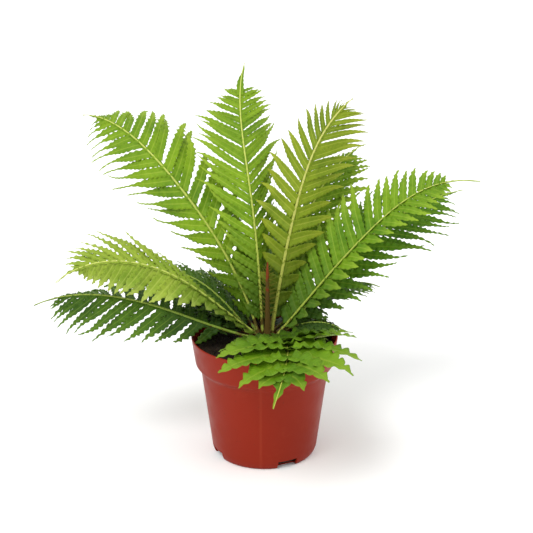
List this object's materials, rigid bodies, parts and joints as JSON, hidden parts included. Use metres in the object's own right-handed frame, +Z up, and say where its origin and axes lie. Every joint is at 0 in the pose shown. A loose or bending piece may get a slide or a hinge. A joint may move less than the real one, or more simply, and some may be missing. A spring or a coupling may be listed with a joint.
{
  "type": "potted fern",
  "caption": "Crown of arching, finely divided fern fronds growing from soil in a round tapered nursery pot with a wider collar and drain notches at the foot.",
  "frame": {"origin": "centre of the pot's flat foot, on the surface it stands on", "axes": "+Z up along the pot's axis, -Y towards the front of the plant, +X to its right"},
  "size_m": [0.3602, 0.3065, 0.2997],
  "materials": {
    "pot_plastic": "satin, slightly glossy moulded plastic",
    "soil": "rough and damp",
    "crown_scales": "rough, scaly",
    "mid_green_leaf": "satin leaf with a pale midrib",
    "young_olive_leaf": "satin leaf with a pale midrib",
    "deep_green_leaf": "satin leaf with a pale midrib",
    "bright_green_leaf": "satin leaf with a pale midrib"
  },
  "bodies": {
    "root": {"nursery_pot": "pot_plastic", "potting_soil": "soil", "crown": "crown_scales", "frond_upper_left": "mid_green_leaf", "frond_back_tall": "mid_green_leaf", "frond_back_right": "young_olive_leaf", "frond_right_low": "deep_green_leaf", "frond_right_high": "bright_green_leaf", "frond_left_arching": "bright_green_leaf", "frond_left_low": "deep_green_leaf", "frond_front_drooping": "bright_green_leaf", "frond_right_back": "mid_green_leaf", "frond_left_back": "deep_green_leaf", "frond_rear": "deep_green_leaf", "frond_rear_left": "deep_green_leaf", "frond_rear_right": "deep_green_leaf", "frond_low_left": "deep_green_leaf", "frond_low_right": "deep_green_leaf", "young_frond": "young_olive_leaf"}
  },
  "joints": []
}
